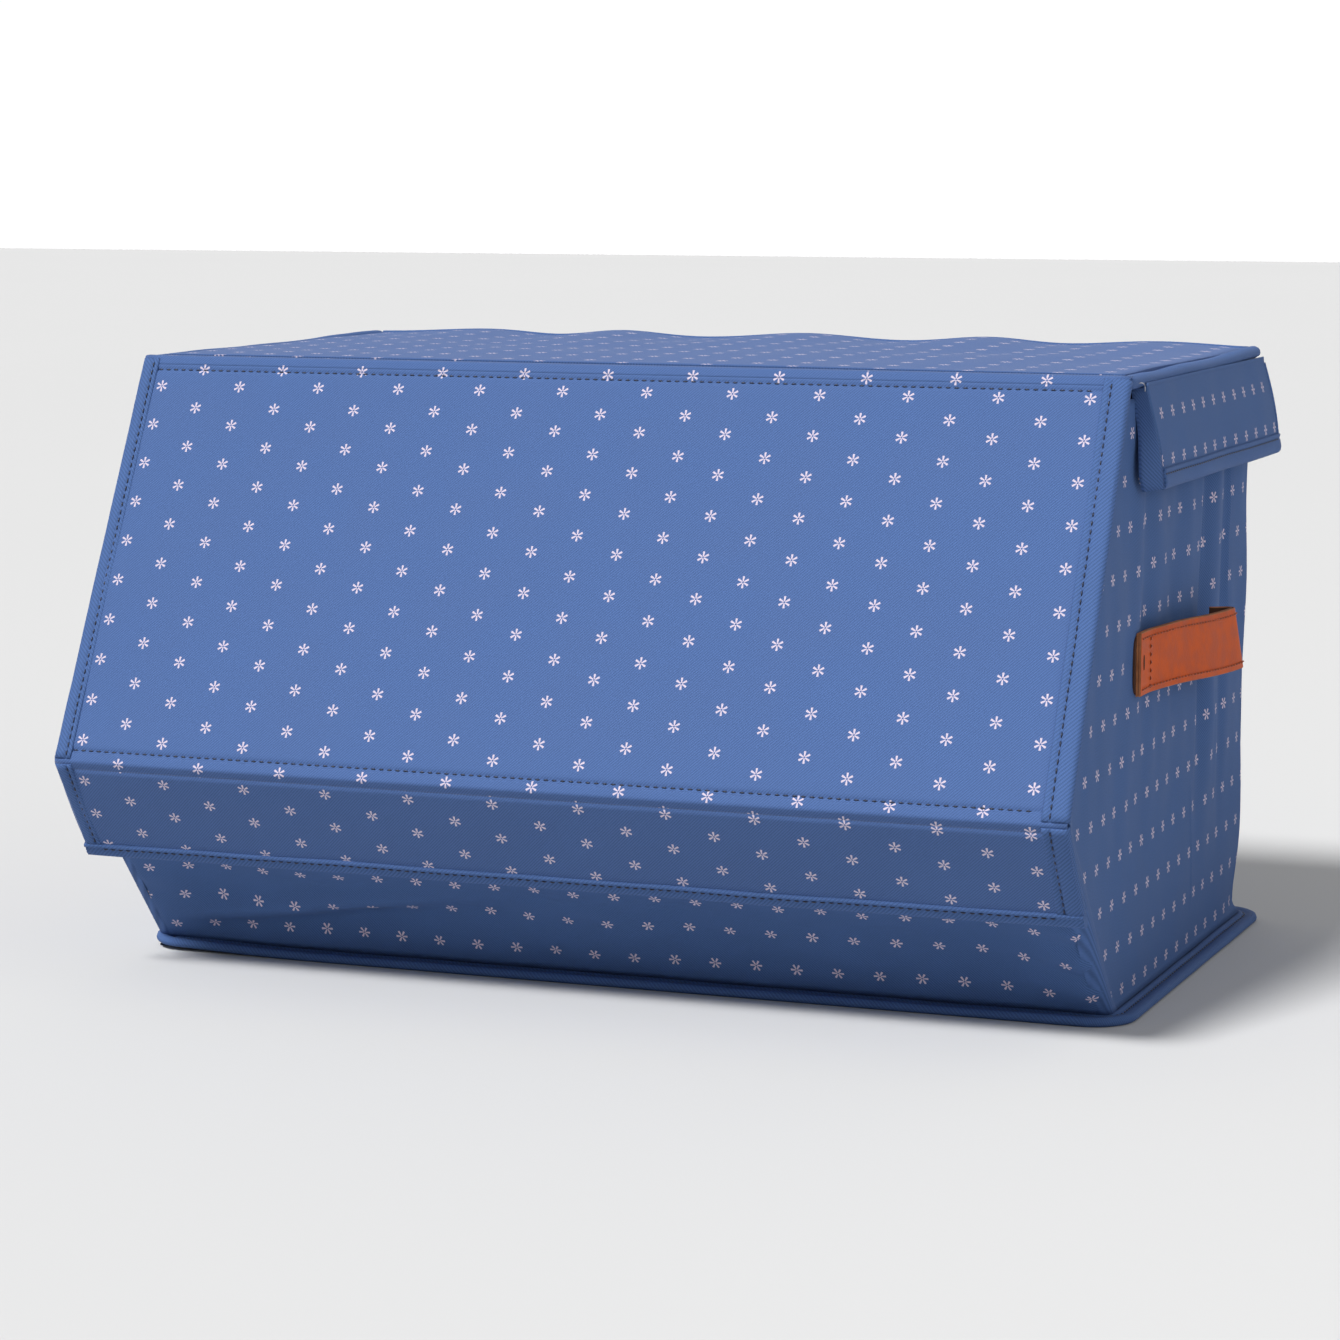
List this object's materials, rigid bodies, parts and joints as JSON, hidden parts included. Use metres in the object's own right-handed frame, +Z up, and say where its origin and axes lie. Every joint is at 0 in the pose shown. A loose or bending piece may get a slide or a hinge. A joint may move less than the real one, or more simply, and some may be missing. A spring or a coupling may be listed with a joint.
{
  "type": "collapsible storage box",
  "caption": "Soft lidded storage box on folding wire hoops, with a sloping front panel, lower flap, side flaps and strap handles; folds flat.",
  "frame": {"origin": "centre of the base's underside, midway between the side walls and between the wall lines in front and behind", "axes": "+X to the right along the long side, -Y towards the front, +Z up"},
  "size_m": [0.533, 0.3763, 0.3015],
  "materials": {
    "wall_fabric": "printed twill",
    "lid_fabric": "printed twill",
    "binding_fabric": "plain twill tape",
    "lining_fabric": "plain weave",
    "hook_tape": "hook and loop tape",
    "handle_leather": "smooth tanned leather, raw edges",
    "board": "grey board",
    "wire": "drawn wire",
    "clip_plastic": "moulded"
  },
  "bodies": {
    "base": {"base_cover": "lining_fabric", "base_board": "board", "base_lining": "lining_fabric", "base_rim_binding": "binding_fabric", "base_clips_right": "clip_plastic", "base_clips_left": "clip_plastic", "back_wall": "wall_fabric", "front_wall": "wall_fabric", "loop_strips": "hook_tape"},
    "right_lower_side": {"right_hoop_lower": "wire", "right_crease_pins": "wire", "right_wall_lower": "wall_fabric", "right_wall_crease": "wall_fabric"},
    "right_upper_side": {"right_hoop_upper": "wire", "right_wall_upper": "wall_fabric", "right_handle_ends": "handle_leather"},
    "right_handle": {"right_handle_strap": "handle_leather", "right_handle_lining": "handle_leather"},
    "right_side_flap": {"right_skirt_cover": "wall_fabric", "right_skirt_board": "board", "right_skirt_lining": "lining_fabric", "right_skirt_hem": "binding_fabric"},
    "left_lower_side": {"left_hoop_lower": "wire", "left_crease_pins": "wire", "left_wall_lower": "wall_fabric", "left_wall_crease": "wall_fabric"},
    "left_upper_side": {"left_hoop_upper": "wire", "left_wall_upper": "wall_fabric", "left_handle_ends": "handle_leather"},
    "left_handle": {"left_handle_strap": "handle_leather", "left_handle_lining": "handle_leather"},
    "left_side_flap": {"left_skirt_cover": "wall_fabric", "left_skirt_board": "board", "left_skirt_lining": "lining_fabric", "left_skirt_hem": "binding_fabric"},
    "top_frame": {"top_rim_board": "board", "top_hem": "binding_fabric", "top_clips_right": "clip_plastic", "top_clips_left": "clip_plastic", "lid_hinge_strip": "binding_fabric"},
    "lid": {"lid_cover": "lid_fabric", "lid_board": "board", "lid_lining": "lining_fabric", "right_piping": "binding_fabric", "left_piping": "binding_fabric"},
    "front_fold": {"front_fold_band": "binding_fabric", "front_stay_wire": "wire"},
    "front_panel": {"front_cover": "lid_fabric", "front_board": "board", "front_lining": "lining_fabric", "front_binding_right": "binding_fabric", "front_binding_left": "binding_fabric", "middle_fold_band": "binding_fabric"},
    "lower_flap": {"flap_cover": "lid_fabric", "flap_board": "board", "flap_lining": "lining_fabric", "flap_binding_right": "binding_fabric", "flap_binding_left": "binding_fabric", "flap_hem": "binding_fabric", "flap_hook_strips": "hook_tape"}
  },
  "joints": [
    {"name": "collapse", "type": "hinge", "parent": "base", "child": "right_lower_side", "pos_m": [0.2415, 0, 0.0085], "axis": [0, -1, 0], "range_deg": [0, 81.5], "deforming": ["back_wall", "front_wall", "loop_strips", "right_wall_crease", "left_wall_crease"]},
    {"name": "right_knee", "type": "hinge", "parent": "right_lower_side", "child": "right_upper_side", "pos_m": [0.2441, 0, 0.14875], "axis": [0, 1, 0], "range_deg": [0, 163]},
    {"name": "right_top_pivot", "type": "hinge", "parent": "right_upper_side", "child": "top_frame", "pos_m": [0.2415, 0, 0.289], "axis": [0, -1, 0], "range_deg": [0, 81.5]},
    {"name": "left_base_pivot", "type": "hinge", "parent": "base", "child": "left_lower_side", "pos_m": [-0.2415, 0, 0.0085], "axis": [0, 1, 0], "range_deg": [0, 81.5]},
    {"name": "left_knee", "type": "hinge", "parent": "left_lower_side", "child": "left_upper_side", "pos_m": [-0.2441, 0, 0.14875], "axis": [0, -1, 0], "range_deg": [0, 163]},
    {"name": "lid_open", "type": "hinge", "parent": "top_frame", "child": "lid", "pos_m": [0, 0.1367, 0.299], "axis": [1, 0, 0], "range_deg": [-180, 0]},
    {"name": "front_swing", "type": "hinge", "parent": "lid", "child": "front_fold", "pos_m": [0, -0.13072, 0.2989], "axis": [-1, 0, 0], "range_deg": [0, 63]},
    {"name": "front_open", "type": "hinge", "parent": "front_fold", "child": "front_panel", "pos_m": [0, -0.13072, 0.2989], "axis": [1, 0, 0], "range_deg": [-175, 0]},
    {"name": "flap_open", "type": "hinge", "parent": "front_panel", "child": "lower_flap", "pos_m": [0, -0.22771, 0.10936], "axis": [1, 0, 0], "range_deg": [-150, 0]},
    {"name": "right_side_flap_lift", "type": "hinge", "parent": "lid", "child": "right_side_flap", "pos_m": [0.2549, 0, 0.2945], "axis": [0, 1, 0], "range_deg": [-120, 0]},
    {"name": "left_side_flap_lift", "type": "hinge", "parent": "lid", "child": "left_side_flap", "pos_m": [-0.2549, 0, 0.2945], "axis": [0, -1, 0], "range_deg": [-120, 0]},
    {"name": "right_handle_lift", "type": "hinge", "parent": "right_upper_side", "child": "right_handle", "pos_m": [0.2527, 0, 0.17935], "axis": [0, 1, 0], "range_deg": [-40, 0]},
    {"name": "left_handle_lift", "type": "hinge", "parent": "left_upper_side", "child": "left_handle", "pos_m": [-0.2527, 0, 0.17935], "axis": [0, -1, 0], "range_deg": [-40, 0]}
  ],
  "couplings": [
    {"joint": "right_knee", "follows": "collapse", "ratio": 2},
    {"joint": "right_top_pivot", "follows": "collapse", "ratio": 1},
    {"joint": "left_base_pivot", "follows": "collapse", "ratio": 1},
    {"joint": "left_knee", "follows": "collapse", "ratio": 2},
    {"joint": "front_swing", "follows": "collapse", "ratio": 0.77178}
  ]
}
